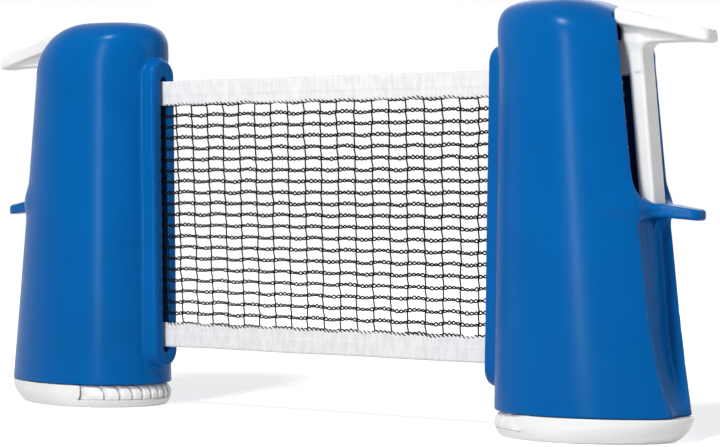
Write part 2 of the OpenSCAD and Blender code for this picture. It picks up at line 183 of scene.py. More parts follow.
def meet(a, b, r):
    """Intersection of two fields, with a convex edge of radius r."""
    return np.minimum(-r, np.maximum(a, b)) + np.hypot(np.maximum(r + a, 0), np.maximum(r + b, 0))


def cut(a, b, r):
    """Field a with field b taken out of it."""
    return meet(a, -b, r)


def egg(u, v, z):
    """The housing's body: a tapered egg under a crown."""
    t = np.maximum((z - SHOULDER_Z) / (POST_H - SHOULDER_Z), 0)
    rise = np.minimum(z, SHOULDER_Z) - FOOT_H
    x = u - CROWN_SHIFT * np.minimum(t, 1) ** 2
    net_side = x >= 0
    reach = np.where(net_side, NET_REACH - NET_TAPER * rise, BACK_REACH - BACK_TAPER * rise)
    depth = HALF_DEPTH - DEPTH_TAPER * rise
    power = np.where(net_side, NET_SIDE_POWER, BACK_SIDE_POWER)
    along = (np.abs(x) / reach) ** power
    across = (np.abs(v) / depth) ** power
    total = along + across + 1e-9
    crown_power = np.where(net_side, NET_CROWN_POWER, BACK_CROWN_POWER)
    crown_power = DEPTH_CROWN_POWER + (crown_power - DEPTH_CROWN_POWER) * along / total
    spread = total ** (1 / power)
    radius = np.hypot(x, v) / spread
    return ((spread ** crown_power + t ** crown_power) ** (1 / crown_power) - 1) * radius


def rim_at(z):
    return -(RIM_REACH - RIM_TAPER * z)


def fin_face_at(z):
    return FIN_FACE / math.cos(LEAN) + z * math.tan(LEAN)


def at_knots(x, rows):
    """Value at x of a table of breakpoints, straight between them."""
    return np.interp(x, [row[0] for row in rows], [row[1] for row in rows])


def along_table(z, rows, blur=5.0):
    """Value at z of a table of breakpoints, with its corners rounded over the blur."""
    shares = ((-1, 0.12), (-0.5, 0.23), (0, 0.3), (0.5, 0.23), (1, 0.12))
    return sum(share * at_knots(z + blur * step, rows) for step, share in shares)


def to_slide(u, z):
    """Post frame to the frame that leans with the push rod."""
    return u * math.cos(LEAN) - z * math.sin(LEAN), u * math.sin(LEAN) + z * math.cos(LEAN)


def from_slide(su, sz):
    return su * math.cos(LEAN) + sz * math.sin(LEAN), sz * math.cos(LEAN) - su * math.sin(LEAN)


def channel_floor_at(z):
    return fin_face_at(z) + FIN_D / math.cos(LEAN) + FIN_GAP - along_table(z, FLOOR_RISE)


def back_at(z, v):
    """Reach of the back of the egg at height z and depth v, below the crown."""
    rise = z - FOOT_H
    reach, depth = BACK_REACH - BACK_TAPER * rise, HALF_DEPTH - DEPTH_TAPER * rise
    return reach * (1 - (v / depth) ** BACK_SIDE_POWER) ** (1 / BACK_SIDE_POWER)


RIM_U = [(z, -back_at(z, v)) for z, v in MOUTH_V[:-1]] + [(POST_H + 5, rim_at(POST_H + 5))]


def channel(u, v, z):
    """The channel down the back, whose floor comes out to the surface above the foot."""
    floor_u, floor_v = channel_floor_at(z), along_table(z, FLOOR_V)
    slope = (along_table(z, MOUTH_V) - floor_v) / np.maximum(floor_u - along_table(z, RIM_U), 0.5)
    side = (np.abs(v) - floor_v - slope * (floor_u - u)) / np.hypot(1, slope)
    return meet(u - floor_u, side, 1.2)


def nose(u, v, z):
    face = NOSE_U - NOSE_SLOPE * z
    middle = np.clip(z, NOSE_LOW + NOSE_V, NOSE_HIGH - NOSE_V)
    stadium = np.hypot(v, z - middle) - NOSE_V - NOSE_DRAFT * (face - u)
    return np.maximum(meet(stadium, u - face, 1.8), NOSE_ROOT_U - u)


def net_slot(u, v, z):
    middle = np.clip(z, NET_SLOT_LOW + NET_SLOT_R, NET_SLOT_HIGH - NET_SLOT_R)
    return np.maximum(np.hypot(v, z - middle) - NET_SLOT_R, NOSE_ROOT_U - u)


def ledge(u, v, z):
    width = along_table(-u, LEDGE_PLAN, 2.5)
    inward = np.clip((u + LEDGE_REACH) / LEDGE_RUN, 0, 1)
    top, low = LEDGE_TOP + LEDGE_RISE * inward, LEDGE_LOW + LEDGE_LIFT * inward
    plate = meet(meet(z - top, low - z, 1.0), np.abs(v) - width, 1.2)
    return np.maximum(meet(plate, -u - LEDGE_REACH, 1.2), u + LEDGE_ROOT)


def fin_passage(u, v, z):
    su = to_slide(u, z)[0]
    box = np.maximum(np.abs(v) - FIN_W - FIN_GAP, np.abs(su - FIN_FACE - FIN_D / 2) - FIN_D / 2 - FIN_GAP)
    return np.maximum(box, np.abs(z - PASSAGE_Z) - PASSAGE_HALF_H)


def screw_holes(u, v, z):
    spots = [np.hypot(u - su, z - sz) - COUNTERBORE_R for su, sz in SCREW_SPOTS]
    return np.maximum(np.minimum.reduce(spots), COUNTERBORE_V - v)


def rod_hole(u, v, z):
    su = to_slide(u, z)[0]
    return np.maximum(np.hypot(su - ROD_U, v) - ROD_R - 0.1, z - 60)


def jaw_pocket(u, v, z):
    outline = egg(u, v, FOOT_H + 0 * z) + JAW_MARGIN
    return np.maximum(np.maximum(outline, JAW_POCKET_U - u), z - FOOT_H - JAW_POCKET_H)


def housing(u, v, z):
    groove = channel(u, v, z)
    body = meet(egg(u, v, z), FOOT_H - z, 0.5)
    outer = join(cut(body, groove, at_knots(z, CHANNEL_EDGE)), nose(u, v, z), 1.0)
    outer = join(outer, ledge(u, v, z), at_knots(z, LEDGE_FILLET))
    cavity = np.maximum(np.maximum(egg(u, v, z) + WALL, WALL - groove), FOOT_H + BOTTOM_T - z)
    shell = cut(outer, cavity, 0.4)
    slot = np.maximum(np.maximum(np.abs(v) - SLOT_V, u - SLOT_U), SLOT_LOW_Z - z)
    slot = np.maximum(slot, -np.maximum(-(rim_at(z) - u), z - LEDGE_TOP - 14))
    shell = cut(shell, slot, 0.8)
    for hole, edge in ((net_slot, 0.7), (screw_holes, 0.4), (fin_passage, 0.3), (rod_hole, 0.2),
                       (jaw_pocket, 0.2)):
        shell = cut(shell, hole(u, v, z), edge)
    return shell


def lever(u, v, z):
    su, sz = to_slide(u, z)
    top = LEVER_TOP_Z + LEVER_TOP_SLOPE * (u + LEVER_ROOT)
    under = LEVER_UNDER_Z + LEVER_UNDER_SLOPE * (u + LEVER_ROOT)
    width = at_knots(-u, LEVER_PLAN)
    plate = meet(z - top, -u - LEVER_REACH, 5.0)
    plate = meet(plate, np.abs(v) - width, 1.5)
    plate = np.maximum(meet(plate, under - z, 0.9), u + LEVER_ROOT)
    web = meet(np.abs(v) - WEB_HALF, BEAK_TIP_Z - z, 1.2)
    web = np.maximum(meet(web, -u - LEVER_REACH + 0.6, 2.0), np.maximum(z - top + 1.5, u + LEVER_ROOT + 1.5))
    fin = meet(np.abs(v) - FIN_W, np.abs(su - FIN_FACE - FIN_D / 2) - FIN_D / 2, 1.3)
    fin = np.maximum(fin, np.maximum(FIN_LOW - sz, z - top + 2))
    arm = np.maximum(np.abs(v) - FIN_W, np.maximum(FIN_FACE + 1 - su, su - ROD_U))
    arm = np.minimum(arm, np.hypot(su - ROD_U, v) - ROD_R - 3)
    arm = np.maximum(arm, np.abs(sz - ARM_Z) - ARM_HALF_H)
    bill = join(plate, web, 3.0)
    whole = join(bill, fin, 5.0)
    socket = np.maximum(np.hypot(su - ROD_U, v) - ROD_R - 0.03, sz - SOCKET_TOP_Z)
    return cut(join(whole, arm, 1.0), socket, 0.3)


def foot_form(u, v, z):
    """Rounded bowl on the housing's own outline, drawn in further at the end away from the net."""
    along = (np.maximum(-u, 0) / BACK_REACH) ** BACK_SIDE_POWER
    across = (np.abs(v) / HALF_DEPTH) ** BACK_SIDE_POWER
    outer = along / (along + across + 1e-9)
    rise = np.clip(1 - z / (FOOT_ROUND_H + (FOOT_H - FOOT_ROUND_H) * outer), 0, 1)
    share = 1 - (1 - rise ** FOOT_ROUND_POWER) ** (1 / FOOT_ROUND_POWER)
    inset = share * (FOOT_ROUND_NET + (FOOT_ROUND_BACK - FOOT_ROUND_NET) * outer)
    form = meet(egg(u, v, FOOT_H + 0 * z) + inset, z - FOOT_H + 0.3, 0.4)
    return meet(form, -z, 0.4)


def end_curve(end_u, run, u, z):
    """Outside of an end that is rounded down over the run from the jaw's top to the floor of the grooves."""
    height = FOOT_H - GROOVE_Z
    curve = np.hypot(np.maximum(u - end_u + run, 0) / run, np.maximum(z - GROOVE_Z, 0) / height)
    return np.minimum((curve - 1) * height, z - GROOVE_Z)


def jaw_block(u, v, z):
    return np.maximum(np.maximum(JAW_ROOT_U - u, PAD_LOW - z), np.abs(v) - RIB_HALF)


def foot(u, v, z):
    su, sz = to_slide(u, z)
    bowl = meet(foot_form(u, v, z), end_curve(PLAIN_END_U, PLAIN_END_RUN, u, z), 0.5)
    bowl = cut(bowl, jaw_block(u, v, z), 0.15)
    recess = np.maximum(np.hypot(su - ROD_U, v) - FOOT_RECESS_R, sz - FOOT_RECESS_H)
    return cut(bowl, recess, 0.3)


def foot_pad(u, v, z):
    """Grip of the lower jaw: ribs with rounded ends on a thin slab."""
    index = np.floor(v / RIB_PITCH)
    end_u = NET_REACH * np.sqrt(np.maximum(1 - (v / HALF_DEPTH) ** 2, 0)) + 0.3
    run = RIB_END_RUN * (1 + 0.6 * (v / RIB_SPAN) ** 2)
    side = np.abs(v - (index + 0.5) * RIB_PITCH) - (RIB_PITCH - GROOVE_W) / 2
    rib = np.maximum(meet(side, end_curve(end_u, run, u, z), 0.8), np.abs(v) - RIB_SPAN)
    ribs = np.minimum(rib, z - GROOVE_Z)
    return np.maximum(meet(foot_form(u, v, z) + 0.12, ribs, 0.3), jaw_block(u, v, z) + 0.1)


# ---------- meshes from fields ----------

def field_at(field, points):
    return field(points[:, 0], points[:, 1], points[:, 2])


def gradient(field, points, h=0.04):
    parts = []
    for axis in range(3):
        offset = np.zeros(3)
        offset[axis] = h
        parts.append((field_at(field, points + offset) - field_at(field, points - offset)) / (2 * h))
    return np.stack(parts, axis=1)


def surface(field, low, high, step):
    """Surface net of a field over a grid, drawn onto the field's zero level. Returns points and quads."""
    axes = [np.arange(a, b + s, s) for a, b, s in zip(low, high, step)]
    grid = np.meshgrid(*axes, indexing="ij")
    value = field(*grid)
    inside = value < 0
    cells = tuple(n - 1 for n in value.shape)
    total = np.zeros(cells + (3,))
    count = np.zeros(cells)
    quads = []
    for axis in range(3):
        others = [i for i in range(3) if i != axis]
        here = [slice(None)] * 3
        there = [slice(None)] * 3
        here[axis], there[axis] = slice(0, -1), slice(1, None)
        a, b = value[tuple(here)], value[tuple(there)]
        crossing = inside[tuple(here)] != inside[tuple(there)]
        share = np.where(crossing, a / np.where(crossing, a - b, 1), 0)
        where = np.stack([g[tuple(here)] for g in grid], axis=-1)
        where[..., axis] += share * step[axis]
        for i in (0, 1):
            for j in (0, 1):
                pick = [slice(None)] * 3
                pick[others[0]] = slice(i, i + cells[others[0]])
                pick[others[1]] = slice(j, j + cells[others[1]])
                hit = crossing[tuple(pick)]
                total += where[tuple(pick)] * hit[..., None]
                count += hit
        core = [slice(None)] * 3
        core[others[0]], core[others[1]] = slice(1, -1), slice(1, -1)
        index = np.argwhere(crossing[tuple(core)])
        index[:, others[0]] += 1
        index[:, others[1]] += 1
        ring = []
        for i, j in ((-1, -1), (0, -1), (0, 0), (-1, 0)):
            cell = index.copy()
            cell[:, others[0]] += i
            cell[:, others[1]] += j
            ring.append(np.ravel_multi_index(cell.T, cells))
        ring = np.stack(ring, axis=1)
        leaving = inside[tuple(index.T)]
        flip = leaving if axis != 1 else ~leaving
        ring[~flip] = ring[~flip][:, ::-1]
        quads.append(ring)
    used = count > 0
    number = np.cumsum(used.ravel()) - 1
    points = total[used] / count[used][:, None]
    quads = number[np.concatenate(quads)]
    for _ in range(4):
        slope = gradient(field, points)
        move = field_at(field, points)[:, None] * slope / np.maximum((slope ** 2).sum(1), 0.2)[:, None]
        points -= np.clip(move, -0.4 * min(step), 0.4 * min(step))
    return points, quads


def place(points, side):
    """Post frame in millimetres to row frame in metres."""
    sign = SIDES[side]
    return np.column_stack((sign * (POST_X - points[:, 0]), points[:, 1], points[:, 2])) * MM


def mesh_object(name, points, faces, material, smooth=True):
    mesh = bpy.data.meshes.new(name)
    mesh.from_pydata(points.tolist() if hasattr(points, "tolist") else points, [],
                     faces.tolist() if hasattr(faces, "tolist") else faces)
    mesh.update()
    obj = bpy.data.objects.new(name, mesh)
    bpy.context.collection.objects.link(obj)
    mesh.materials.append(material)
    if smooth:
        mesh.polygons.foreach_set("use_smooth", [True] * len(mesh.polygons))
    return obj


def field_object(name, side, skin, field, material):
    """An object from a field's surface, shaded by the field's own normals."""
    points, quads = skin
    faces = quads if side == "left" else quads[:, ::-1]
    obj = mesh_object(name, place(points, side), faces, material)
    set_field_normals(obj, side, field)
    return obj


def set_field_normals(obj, side, field):
    mesh = obj.data
    co = np.empty(len(mesh.vertices) * 3)
    mesh.vertices.foreach_get("co", co)
    co = co.reshape(-1, 3) / MM
    sign = SIDES[side]
    local = np.column_stack((POST_X - sign * co[:, 0], co[:, 1], co[:, 2]))
    slope = gradient(field, local)
    slope[:, 0] *= -sign
    slope /= np.maximum(np.linalg.norm(slope, axis=1), 1e-6)[:, None]
    mesh.normals_split_custom_set_from_vertices(slope.tolist())


def strip_faces(rings, points_each):
    """Quads between closed rings that follow one another."""
    i, j = np.meshgrid(np.arange(rings - 1), np.arange(points_each), indexing="ij")
    k = (j + 1) % points_each
    here, there = i * points_each, (i + 1) * points_each
    return np.stack((here + j, there + j, there + k, here + k), axis=-1).reshape(-1, 4)


def tube(points, radius, sides=5, across=(0, 1, 0)):
    """Tube along points, as vertices and quads; across is a direction that it never runs along."""
    points = np.asarray(points, float)
    along = np.gradient(points, axis=0)
    along /= np.linalg.norm(along, axis=1)[:, None]
    out = np.cross(along, across)
    out /= np.linalg.norm(out, axis=1)[:, None]
    side = np.cross(along, out)
    angles = np.arange(sides) * 2 * math.pi / sides
    rings = points[:, None] + radius * (np.cos(angles)[None, :, None] * out[:, None]
                                        + np.sin(angles)[None, :, None] * side[:, None])
    return rings.reshape(-1, 3), strip_faces(len(points), sides)[:, [0, 3, 2, 1]]


def merge(parts):
    points, faces, start = [], [], 0
    for part_points, part_faces in parts:
        points.append(part_points)
        faces.append(part_faces + start)
        start += len(part_points)
    return np.concatenate(points), np.concatenate(faces)


# ---------- materials ----------

def new_material(name):
    material = bpy.data.materials.new(name)
    material.use_nodes = True
    return material, material.node_tree.nodes, material.node_tree.links, \
        material.node_tree.nodes["Principled BSDF"]


def noise(nodes, links, scale, detail=3.0, stretch=(1, 1, 1)):
    place_node = nodes.new("ShaderNodeTexCoord")
    mapping = nodes.new("ShaderNodeMapping")
    mapping.inputs["Scale"].default_value = stretch
    texture = nodes.new("ShaderNodeTexNoise")
    texture.inputs["Scale"].default_value = scale
    texture.inputs["Detail"].default_value = detail
    links.new(place_node.outputs["Object"], mapping.inputs["Vector"])
    links.new(mapping.outputs["Vector"], texture.inputs["Vector"])
    return texture


def ramp(nodes, links, source, low, high, start=0.35, end=0.65):
    node = nodes.new("ShaderNodeValToRGB")
    node.color_ramp.elements[0].position = start
    node.color_ramp.elements[1].position = end
    node.color_ramp.elements[0].color = (*low, 1)
    node.color_ramp.elements[1].color = (*high, 1)
    links.new(source, node.inputs["Fac"])
    return node.outputs["Color"]


def bump(nodes, links, source, strength, distance):
    node = nodes.new("ShaderNodeBump")
    node.inputs["Strength"].default_value = strength
    node.inputs["Distance"].default_value = distance
    links.new(source, node.inputs["Height"])
    return node.outputs["Normal"]


def moulded_plastic(name, low, high, roughness, grain):
    """Satin moulded plastic: faint mottling, fine grain and a slightly uneven gloss."""
    material, nodes, links, shader = new_material(name)
    mottle = noise(nodes, links, 35, 4)
    links.new(ramp(nodes, links, mottle.outputs["Fac"], low, high), shader.inputs["Base Color"])
    gloss = noise(nodes, links, 90, 3)
    spread = nodes.new("ShaderNodeMapRange")
    spread.inputs["To Min"].default_value = roughness - 0.04
    spread.inputs["To Max"].default_value = roughness + 0.05
    links.new(gloss.outputs["Fac"], spread.inputs["Value"])
    links.new(spread.outputs["Result"], shader.inputs["Roughness"])
    fine = noise(nodes, links, 2600, 2)
    links.new(bump(nodes, links, fine.outputs["Fac"], grain, 0.0001), shader.inputs["Normal"])
    shader.inputs["Specular IOR Level"].default_value = 0.45
    return material


def drawn_steel():
    material, nodes, links, shader = new_material("drawn_steel")
    shader.inputs["Metallic"].default_value = 1.0
    streaks = noise(nodes, links, 900, 3, (1, 1, 0.05))
    links.new(ramp(nodes, links, streaks.outputs["Fac"], (0.42, 0.43, 0.45), (0.66, 0.67, 0.69)),
              shader.inputs["Base Color"])
    spread = nodes.new("ShaderNodeMapRange")
    spread.inputs["To Min"].default_value = 0.24
    spread.inputs["To Max"].default_value = 0.42
    links.new(streaks.outputs["Fac"], spread.inputs["Value"])
    links.new(spread.outputs["Result"], shader.inputs["Roughness"])
    return material


def matt_rubber():
    material, nodes, links, shader = new_material("matt_rubber")
    speck = noise(nodes, links, 700, 3)
    links.new(ramp(nodes, links, speck.outputs["Fac"], (0.42, 0.42, 0.41), (0.55, 0.55, 0.54)),
              shader.inputs["Base Color"])
    shader.inputs["Roughness"].default_value = 0.85
    links.new(bump(nodes, links, speck.outputs["Fac"], 0.4, 0.0002), shader.inputs["Normal"])
    return material


def black_cord():
    material, nodes, links, shader = new_material("black_cord")
    fibre = noise(nodes, links, 2200, 3, (1, 1, 0.4))
    links.new(ramp(nodes, links, fibre.outputs["Fac"], (0.001, 0.001, 0.0012), (0.008, 0.008, 0.009)),
              shader.inputs["Base Color"])
    shader.inputs["Roughness"].default_value = 0.8
    shader.inputs["Specular IOR Level"].default_value = 0.08
    links.new(bump(nodes, links, fibre.outputs["Fac"], 0.5, 0.0002), shader.inputs["Normal"])
    return material


def knitted_tape(name, ribbed=False):
    """Knitted tape; ribbed where the ribs aren't modelled."""
    material, nodes, links, shader = new_material(name)
    yarn = noise(nodes, links, 520, 4, (1, 1, 0.25))
    links.new(ramp(nodes, links, yarn.outputs["Fac"], (0.70, 0.70, 0.71), (0.80, 0.80, 0.80)),
              shader.inputs["Base Color"])
    shader.inputs["Roughness"].default_value = 0.85
    shader.inputs["Sheen Weight"].default_value = 0.05
    height = yarn.outputs["Fac"]
    if ribbed:
        place_node = nodes.new("ShaderNodeTexCoord")
        ribs = nodes.new("ShaderNodeTexWave")
        ribs.inputs["Scale"].default_value = 330
        links.new(place_node.outputs["Object"], ribs.inputs["Vector"])
        height = ribs.outputs["Fac"]
    links.new(bump(nodes, links, height, 0.35, 0.0003), shader.inputs["Normal"])
    return material


BLUE = moulded_plastic("blue_plastic", (0.0, 0.098, 0.345), (0.0, 0.107, 0.367), 0.32, 0.25)
for socket, value in (("Specular IOR Level", 0.07), ("Specular Tint", (0.0, 0.6, 1.0, 1)),
                      ("Coat Weight", 0.014), ("Coat IOR", 3.0), ("Coat Roughness", 0.2)):
    BLUE.node_tree.nodes["Principled BSDF"].inputs[socket].default_value = value
WHITE = moulded_plastic("white_plastic", (0.80, 0.80, 0.79), (0.85, 0.85, 0.84), 0.38, 0.15)
STEEL = drawn_steel()
RUBBER = matt_rubber()
CORD = black_cord()
TAPE = knitted_tape("knitted_tape")
RIBBED_TAPE = knitted_tape("ribbed_tape", ribbed=True)


# ---------- rigid pieces ----------

def split_housing(name, side, skin, half):
    """One half of the housing, ending in a fine groove on the parting plane."""
    obj = field_object(name, side, skin, housing, BLUE)
    bm = bmesh.new()
    bm.from_mesh(obj.data)
    for offset in (-SEAM_HALF_W * MM, SEAM_HALF_W * MM):
        bmesh.ops.bisect_plane(bm, geom=bm.verts[:] + bm.edges[:] + bm.faces[:], dist=1e-7,
                               plane_co=(0, offset, 0), plane_no=(0, 1, 0))
    bmesh.ops.bisect_plane(bm, geom=bm.verts[:] + bm.edges[:] + bm.faces[:], dist=1e-7,
                           plane_co=(0, 0, 0), plane_no=(0, -half, 0), clear_outer=True)
    bm.normal_update()
    for vert in bm.verts:
        if abs(vert.co.y) < 1e-6:
            vert.co -= vert.normal * SEAM_DEPTH * MM
            vert.co.y = half * SEAM_GAP * MM
    bm.to_mesh(obj.data)
    bm.free()
    set_field_normals(obj, side, housing)
    return obj


def make_posts():
    skin = surface(housing, (-62.5, -33.5, 10.5), (48, 34, 196), (1.15, 1.0, 1.15))
    lever_skin = surface(lever, (-66, -12, 90), (-2, 12, 191), (0.8, 0.8, 0.8))
    foot_skin = surface(foot, (-57, -34, -0.8), (42, 34, 13), (0.9, 0.8, 0.5))
    pad_skin = surface(foot_pad, (-9, -30, 3.3), (42, 30, 12.2), (0.8, 0.3, 0.45))
    for side in SIDES:
        for half, word in ((-1, "front"), (1, "back")):
            shell = split_housing(f"{side}_housing_{word}", side, skin, half)
            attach(shell, f"{side}_post")
            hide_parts(f"{side}_shell_{word}")
        pieces = (("lever_form", "squeeze_lever", lever_skin, lever),
                  ("foot_bowl", "foot", foot_skin, foot), ("foot_ribs", "foot_pad", pad_skin, foot_pad))
        for word, node, piece_skin, field in pieces:
            piece = field_object(f"{side}_{word}", side, piece_skin, field, WHITE)
            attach(piece, f"{side}_clamp")
            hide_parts(f"{side}_{node}")


def make_springs():
    """Clamp springs round the push rods, with closed end turns."""
    share = np.linspace(0, 1, SPRING_TURNS * TURN_STEPS + 1)
    closed = CLOSED_TURNS / SPRING_TURNS
    middle = np.clip((share - closed) / (1 - 2 * closed), 0, 1)
    ends = CLOSED_RISE * (np.minimum(share, closed) + np.maximum(share - 1 + closed, 0)) / closed
    height = SPRING_LOW + WIRE_R + ends + (SPRING_H - 2 * WIRE_R - 2 * CLOSED_RISE) * middle
    angle = 2 * math.pi * SPRING_TURNS * share
    u, z = from_slide(ROD_U + SPRING_R * np.cos(angle), height)
    path = np.column_stack((u, SPRING_R * np.sin(angle), z))
    points, faces = tube(path, WIRE_R, 10, (math.sin(LEAN), 0, math.cos(LEAN)))
    for side, sign in SIDES.items():
        quads = faces if side == "left" else faces[:, ::-1]
        spring = mesh_object(f"{side}_coil", place(points, side), quads, STEEL)
        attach(spring, f"{side}_post")
        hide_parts(f"{side}_clamp_spring")
        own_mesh(spring)


def dress_nodes():
    """Materials of the CAD nodes that show as they are."""
    slots = {"steel": STEEL, "rubber": RUBBER, "white_plastic": WHITE, "blue_plastic": BLUE,
             "net_cord": CORD, "net_tape": TAPE}
    for sub in frame["record"]["subparts"]:
        obj = frame["nodes"][sub["node"]]
        for material_slot in obj.material_slots:
            material_slot.material = slots[sub["material_slot"]]


# ---------- net ----------

MESH_ROWS = 20
MESH_COLUMNS = 20
STITCHES = 4
CORD_R = 0.38
ROW_CORD_R = 0.38
PITCH_X = 2 * NET_END / MESH_COLUMNS
MESH_SPAN = (NET_LOW + TAPE_H - 0.4, NET_LOW + NET_H - TAPE_H + 0.4)
KNOT_WANDER = 0.28
ROW_SAG = 0.32
ROW_SAG_SPREAD = 0.12
STITCH_HALF = 0.46
STITCH_SPREAD = 0.34
STITCH_DEPTH = 0.22
UPRIGHT_BEND = 0.16
UPRIGHT_Y = 0.1

TAPES = (("net_bottom_tape", NET_LOW, True), ("net_top_tape", NET_LOW + NET_H - TAPE_H, False))
TAPE_STEP = 0.24
TAPE_RIB = 0.96
TAPE_HALF_T = 0.46
RIB_RISE = 0.16
SELVEDGE_DROP = 0.1
RIBBED_SHARE = 0.62

PAYOUT = 750.0
RESERVE = 27.0
RESERVE_AREA_SHARE = 0.31
RESERVE_TAPE_HALF_T = 0.5


def mesh_parts(columns, low, high, steps, sides):
    """Chain-stitched rows and thin leaning uprights, centred on the row's middle."""
    rng = np.random.default_rng(7)
    half = columns * PITCH_X / 2
    pitch_z = (high - low) / MESH_ROWS
    lean = PITCH_X * 0.5 * (1 - np.clip(np.arange(columns + 1) / MESH_COLUMNS, 0, 1))
    wander = rng.normal(0, KNOT_WANDER, (columns + 1, MESH_ROWS + 1))
    share = np.arange(MESH_ROWS + 1) / MESH_ROWS
    knots = -half + PITCH_X * np.arange(columns + 1)[:, None] + lean[:, None] * (0.5 - share) + wander
    s = np.arange(STITCHES * steps) / (STITCHES * steps)
    loop = np.sin(math.pi * s * STITCHES)
    turn = np.cos(math.pi * s * STITCHES)
    parts = []
    for row in range(MESH_ROWS + 1):
        offset = np.where(np.arange(columns) % 2, ROW_SAG, -ROW_SAG) + rng.normal(0, ROW_SAG_SPREAD, columns)
        stitch = np.arange(columns)[:, None] * 7 + (s * STITCHES).astype(int) * 3 + row * 5
        swell = STITCH_HALF + STITCH_SPREAD * (stitch % 4) / 3
        x = knots[:-1, row, None] + (knots[1:, row] - knots[:-1, row])[:, None] * s
        z = low + row * pitch_z + offset[:, None] * np.sin(math.pi * s)
        for sign in (1, -1):
            strand = np.stack((x, sign * STITCH_DEPTH * turn + 0 * x, z + sign * swell * loop), -1)
            parts.append(tube(strand.reshape(-1, 3), ROW_CORD_R, sides))
    s = np.arange(5) / 4
    for i in range(columns + 1):
        for row in range(MESH_ROWS):
            x = knots[i, row] + (knots[i, row + 1] - knots[i, row]) * s
            x = x + UPRIGHT_BEND * np.sin(2 * math.pi * s)
            path = np.column_stack((x, np.full(len(s), UPRIGHT_Y), low + (row + s) * pitch_z))
            parts.append(tube(path, CORD_R, sides))
    points, faces = merge(parts)
    points[:, 0] = np.clip(points[:, 0], -half, half)
    return points, faces


def tape_parts(low, high, selvedge_up):
    """Knitted tape: ribbed across, with a smooth band along the mesh edge."""
    rng = np.random.default_rng(11)
    xs = np.linspace(-NET_END, NET_END, int(round(2 * NET_END / TAPE_STEP)) + 1)
    zs = np.linspace(0, 1, 25)
    share = zs if selvedge_up else 1 - zs
    ribbed = np.clip((RIBBED_SHARE - share) / 0.05, 0, 1) * np.clip(share / 0.05, 0, 1)
    wobble = np.cumsum(rng.normal(0, 0.02, len(xs)))
    ribs = 0.5 + 0.5 * np.cos(2 * math.pi * xs / TAPE_RIB + wobble)
    thick = TAPE_HALF_T + RIB_RISE * ribs[:, None] * ribbed[None, :] - SELVEDGE_DROP * (1 - ribbed)[None, :]
    edge = np.clip(np.minimum(zs, 1 - zs) / 0.04, 0, 1) ** 0.5
    thick = thick * (0.35 + 0.65 * edge)[None, :]
    wave = 0.10 * np.sin(xs / 9.0 + 1.3)[:, None] * np.ones_like(zs)[None, :]
    height = low + (high - low) * zs[None, :] + 0.10 * np.sin(xs / 14.0)[:, None]
    front = np.stack((np.repeat(xs[:, None], len(zs), 1), wave - thick, height), -1)
    back = np.stack((np.repeat(xs[:, None], len(zs), 1), wave + thick, height), -1)
    rings = np.concatenate((front, back[:, ::-1]), axis=1)
    return rings.reshape(-1, 3), strip_faces(*rings.shape[:2])


def make_net():
    """The band between the posts as it shows."""
    low, high = MESH_SPAN
    points, faces = mesh_parts(MESH_COLUMNS, low, high, 8, 5)
    mesh = mesh_object("net_chain_mesh", points * MM, faces, CORD)
    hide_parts("net_mesh")
    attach(mesh, "net")
    for name, low, selvedge_up in TAPES:
        points, faces = tape_parts(low, low + TAPE_H, selvedge_up)
        tape = mesh_object(name + "_knit", points * MM, faces, TAPE)
        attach(tape, "net")
        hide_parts(name)


def drawn_in(points, half):
    """Points of a paid-out band of that half length, drawn into the nose so that they pay out evenly."""
    share = np.linspace(0, 1, 4001)
    paid_out = share * RESERVE + share ** 2 * (3 - 2 * share) * PAYOUT
    along = (points[:, 0] + half) / (2 * half) * (RESERVE + PAYOUT)
    points = points.copy()
    points[:, 0] = RESERVE * np.interp(along, paid_out, share)
    return points


def plain_tape(half, low, high):
    """A paid-out tape without modelled ribs, as a closed strip."""
    xs = np.linspace(-half, half, 160)
    t = RESERVE_TAPE_HALF_T
    points = np.array([(x, y, z) for x in xs for y, z in ((-t, low), (-t, high), (t, high), (t, low))])
    ends = np.array([(0, 1, 2, 3), (len(points) - 1, len(points) - 2, len(points) - 3, len(points) - 4)])
    return points, np.concatenate((strip_faces(len(xs), 4), ends))


def make_reserves():
    """The band that waits inside each post, built drawn into the nose; on the real net it pays out as the
    posts are drawn apart.
    """
    columns = round((RESERVE + PAYOUT) / PITCH_X)
    low, high = MESH_SPAN
    half = columns * PITCH_X / 2
    cut_area = 2 * half * (high - low) * MM * MM
    points, faces = mesh_parts(columns, low, high, 3, 3)
    cords = {"flat": (2 * half * MM, (high - low) * MM), "area": cut_area * RESERVE_AREA_SHARE}
    bands = [("mesh", drawn_in(points, half), faces, CORD, "net_cord", cords)]
    for name, low, _ in TAPES:
        points, faces = plain_tape(half, low, low + TAPE_H)
        bands.append((name, drawn_in(points, half), faces, RIBBED_TAPE, "net_tape",
                      {"flat": (RESERVE * MM, TAPE_H * MM)}))
    for side, sign in SIDES.items():
        start, end = sign * (NET_END + RESERVE), sign * NET_END
        for name, points, faces, material, slot, cloth in bands:
            placed = np.column_stack((start - sign * points[:, 0], points[:, 1], points[:, 2])) * MM
            quads = faces if side == "left" else faces[:, ::-1]
            band = mesh_object(f"{side}_reserve_{name}", placed, quads, material, smooth=slot == "net_cord")
            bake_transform(band)


# ---------- studio ----------

CAMERA_PLACE = (659.9, -894.9, 110.1)
CAMERA_YAW = -0.619
CAMERA_PITCH = -0.015
CAMERA_ROLL = 0.001
FOCAL_PIXELS = 2318.0
IMAGE_PIXELS = 720.0
SENSOR_W = 36.0


